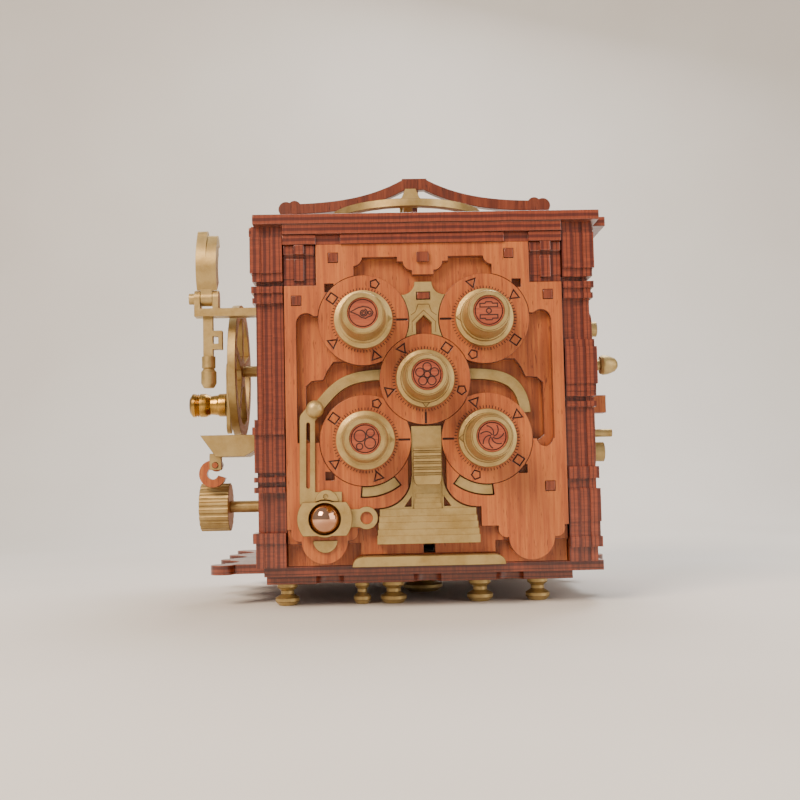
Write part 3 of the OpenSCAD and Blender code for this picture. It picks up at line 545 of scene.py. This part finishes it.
def spiral(x, z, r0, r1, turns, count=36):
    steps = [k / count for k in range(count + 1)]
    return [Vector((x + (r0 + (r1 - r0) * t) * cos(2 * pi * turns * t),
                    z + (r0 + (r1 - r0) * t) * sin(2 * pi * turns * t))) for t in steps], False


def blade(start):
    """One curved blade edge of the iris, from near the centre to the rim."""
    steps = [k / 8 for k in range(9)]
    return [Vector(((0.5 + 4.1 * t) * cos(start + 1.15 * t), (0.5 + 4.1 * t) * sin(start + 1.15 * t)))
            for t in steps], False


bracket = [(-3.4, 2.9), (-1.5, 2.9), (-1.1, 3.5), (1.1, 3.5), (1.5, 2.9), (3.4, 2.9), (3.4, 1.5),
           (-3.4, 1.5)]
pictures = {
    "tl": [closed_line((-4.7, 0.5), (-3.2, 1.3), (-1.6, 2.1), (0.2, 2.5), (2, 2.2), (3.3, 1.4),
                       (4, 0.2), (3.4, -1.1), (2.1, -1.5), (1.1, -2.1), (-0.5, -1.7), (-1.8, -0.7),
                       (-3.2, -0.1)), spiral(0.3, 0.1, 0.25, 1.6, 2.2), ring_line(2.7, 0.1, 0.6, 16)],
    "tr": [closed_line(*bracket), closed_line(*[(x, -z) for x, z in bracket]),
           ring_line(0, 0, 0.95, 24)],
    "c": [ring_line(0, 0, 1.2)] + [ring_line(2.95 * cos(radians(90 + 72 * k)),
                                             2.95 * sin(radians(90 + 72 * k)), 1.6)
                                   for k in range(5)],
    "bl": [ring_line(-1.9, 1.1, 2.2), ring_line(2.1, 2.2, 1.5), ring_line(1.9, -1.7, 2.1),
           ring_line(-2.1, -2.9, 1.2)],
    "br": [blade(2 * pi * k / 7) for k in range(7)],
}


def draw_lines(name, lines, at, width, depths, finish, body):
    shape = bmesh.new()
    for points, closed in lines:
        ribbon(shape, [p + Vector(at) for p in points], closed, width, *depths)
    bmesh.ops.recalc_face_normals(shape, faces=shape.faces)
    piece = piece_from(shape, name, [finish])
    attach(piece, body)


for dial, lines in pictures.items():
    draw_lines("picture_" + dial, lines, dial_at[dial], 0.48, CAP_LINES, char, "dial_" + dial)
draw_lines("neck_chevrons",
           [open_line((-4.7, 110), (-4.7, 114.2), (0, 118.8), (4.7, 114.2), (4.7, 110)),
            open_line((-5.2, 116.8), (-3.2, 118.2), (-2.2, 121.2), (2.2, 121.2), (3.2, 118.2),
                      (5.2, 116.8))],
           (0, 0), 0.3, NECK_LINES, gold_rim, "box")
frame_corners = ((-43, 29), (43, 29), (43, 130), (-43, 130))
draw_lines("drawer_border",
           [closed_line(*frame_corners), closed_line(*[(x * 0.96, 79.5 + (z - 79.5) * 0.966)
                                                       for x, z in frame_corners])]
           + [ring_line(x * 0.86, 79.5 + (z - 79.5) * 0.88, 2.4) for x, z in frame_corners]
           + [ring_line(0, 80, 11), ring_line(0, 80, 13)],
           (0, 0), 0.4, DRAWER_LINES, char, "drawer")
print("pictures:", len(pictures), "lines:", sum(len(lines) for lines in pictures.values()))

# %% [markdown]
# ## Tick marks round the knobs
# A ring of fine burnt ticks surrounds every knob's skirt. One node tree makes a ring, one tick at
# each point of a circle, and sets that ring on the five dial axes. The number of ticks, their
# radius and length are inputs.

# %% Tick rings
def tick_tree():
    tree = bpy.data.node_groups.new("tick_rings", "GeometryNodeTree")
    for name, kind in (("Axes", "NodeSocketGeometry"), ("Ticks", "NodeSocketInt"),
                       ("Radius", "NodeSocketFloat"), ("Length", "NodeSocketFloat"),
                       ("Width", "NodeSocketFloat"), ("Finish", "NodeSocketMaterial")):
        tree.interface.new_socket(name, in_out="INPUT", socket_type=kind)
    tree.interface.new_socket("Ticks made", in_out="OUTPUT", socket_type="NodeSocketGeometry")
    given = add(tree, "NodeGroupInput").outputs
    circle = add(tree, "GeometryNodeMeshCircle", {"Vertices": given["Ticks"],
                                                  "Radius": given["Radius"]})
    size = add(tree, "ShaderNodeCombineXYZ", {"X": given["Length"], "Y": given["Width"]},
               {"Z": 0.08 * MM})
    tick = add(tree, "GeometryNodeMeshCube", {"Size": size.outputs[0]})
    place = add(tree, "GeometryNodeInputPosition")
    outwards = add(tree, "FunctionNodeAlignRotationToVector", {"Vector": place.outputs[0]},
                   axis="X")
    ring = add(tree, "GeometryNodeInstanceOnPoints", {
        "Points": circle.outputs[0], "Instance": tick.outputs[0], "Rotation": outwards.outputs[0]})
    upright = add(tree, "GeometryNodeTransform", {"Geometry": ring.outputs[0]},
                  {"Rotation": (pi / 2, 0, 0)})
    rings = add(tree, "GeometryNodeInstanceOnPoints", {"Points": given["Axes"],
                                                       "Instance": upright.outputs[0]})
    solid = add(tree, "GeometryNodeRealizeInstances", {"Geometry": rings.outputs[0]})
    finished = add(tree, "GeometryNodeSetMaterial", {"Geometry": solid.outputs[0],
                                                     "Material": given["Finish"]})
    output = add(tree, "NodeGroupOutput")
    tree.links.new(finished.outputs[0], output.inputs[0])
    return tree


def grow(name, start_shape, tree, values, body):
    """Runs a node tree on a start shape and keeps the result as one plain mesh."""
    piece = piece_from(start_shape, name, [])
    maker = piece.modifiers.new(name, "NODES")
    maker.node_group = tree
    for item in tree.interface.items_tree:
        if item.in_out == "INPUT" and item.name in values:
            maker[item.identifier] = values[item.name]
    bake_modifiers(piece)
    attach(piece, body)
    return piece


axes_shape = bmesh.new()
for x, z in dial_at.values():
    axes_shape.verts.new((x * MM, -70.02 * MM, z * MM))
ticks = grow("tick_rings", axes_shape, tick_tree(),
             {"Ticks": 64, "Radius": 12.6 * MM, "Length": 1.1 * MM, "Width": 0.3 * MM,
              "Finish": char}, "box")
print("ticks:", len(ticks.data.polygons) // 6)

# %% [markdown]
# ## Floor, light and camera
# A pale seamless floor curves up behind the box. Three large square lamps give soft studio light:
# a warm key from the upper left, a weaker fill from the right and a rim from behind.
# The camera faces the dials from half a metre away.

# %% Studio
def sweep_floor():
    """A floor that bends up into a backdrop, as one smooth strip."""
    shape = bmesh.new()
    depth, bend, rise, half = 0.75, 0.35, 2.5, 6.0
    line = [(-6.0, 0.0), (depth - bend, 0.0)]
    line += [(depth - bend + bend * sin(a * pi / 24), bend - bend * cos(a * pi / 24))
             for a in range(1, 13)]
    line += [(depth, rise)]
    rows = [[shape.verts.new((x, y, z)) for x in (-half, half)] for y, z in line]
    for low, high in zip(rows, rows[1:]):
        shape.faces.new((low[0], low[1], high[1], high[0])).smooth = True
    material, tree, shader = new_finish("seamless_paper")
    place = add(tree, "ShaderNodeTexCoord").outputs["Object"]
    tooth = add(tree, "ShaderNodeTexNoise", {"Vector": place}, {"Scale": 6.0, "Detail": 2.0})
    colour = add(tree, "ShaderNodeValToRGB", {"Fac": tooth.outputs[0]})
    ramp_colours(colour, [(0.3, "#dcd8d2"), (0.7, "#e2dfda")])
    tree.links.new(colour.outputs[0], shader.inputs["Base Color"])
    shader.inputs["Roughness"].default_value = 0.85
    floor = piece_from(shape, "floor", [material])


def soft_box(name, place, target, size, power, colour):
    lamp = bpy.data.lights.new(name, "AREA")
    lamp.shape, lamp.size, lamp.energy = "SQUARE", size, power
    lamp.color = hex_colour(colour)[:3]
    holder = bpy.data.objects.new(name, lamp)
    bpy.context.scene.collection.objects.link(holder)
    holder.location = place
    holder.rotation_euler = (Vector(target) - Vector(place)).to_track_quat("-Z", "Y").to_euler()


sweep_floor()
middle = (0, -0.02, 0.09)
soft_box("key", (-0.55, -0.75, 0.75), middle, 0.5, 16, "#ffe6cc")
soft_box("fill", (0.8, -0.55, 0.35), middle, 0.8, 6, "#fff4e8")
soft_box("rim", (0.15, 0.35, 0.8), middle, 0.5, 7, "#ffffff")
world = bpy.data.worlds.new("studio")
bpy.context.scene.world = world
world.use_nodes = True
world.node_tree.nodes["Background"].inputs[0].default_value = hex_colour("#f2efea")
world.node_tree.nodes["Background"].inputs[1].default_value = 0.42

# %% Camera
# The lens is 53 mm above the table, so it looks up at the box by 4 degrees; it leans by one degree.
eye = Vector((-19.6, -508, 53)) * MM
look = Vector((0.0214, 0.9975, 0.0677))
lens = bpy.data.cameras.new("camera")
lens.lens, lens.sensor_width, lens.clip_start = 49.5, 36, 0.01
camera = bpy.data.objects.new("camera", lens)
bpy.context.scene.collection.objects.link(camera)
camera.location = eye
turn = look.to_track_quat("-Z", "Y").to_matrix().to_4x4()
camera.matrix_world = Matrix.Translation(eye) @ turn @ Matrix.Rotation(radians(-1.2), 4, "Z")
bpy.context.scene.camera = camera
print("camera at", [round(v, 3) for v in eye], "lens", lens.lens)
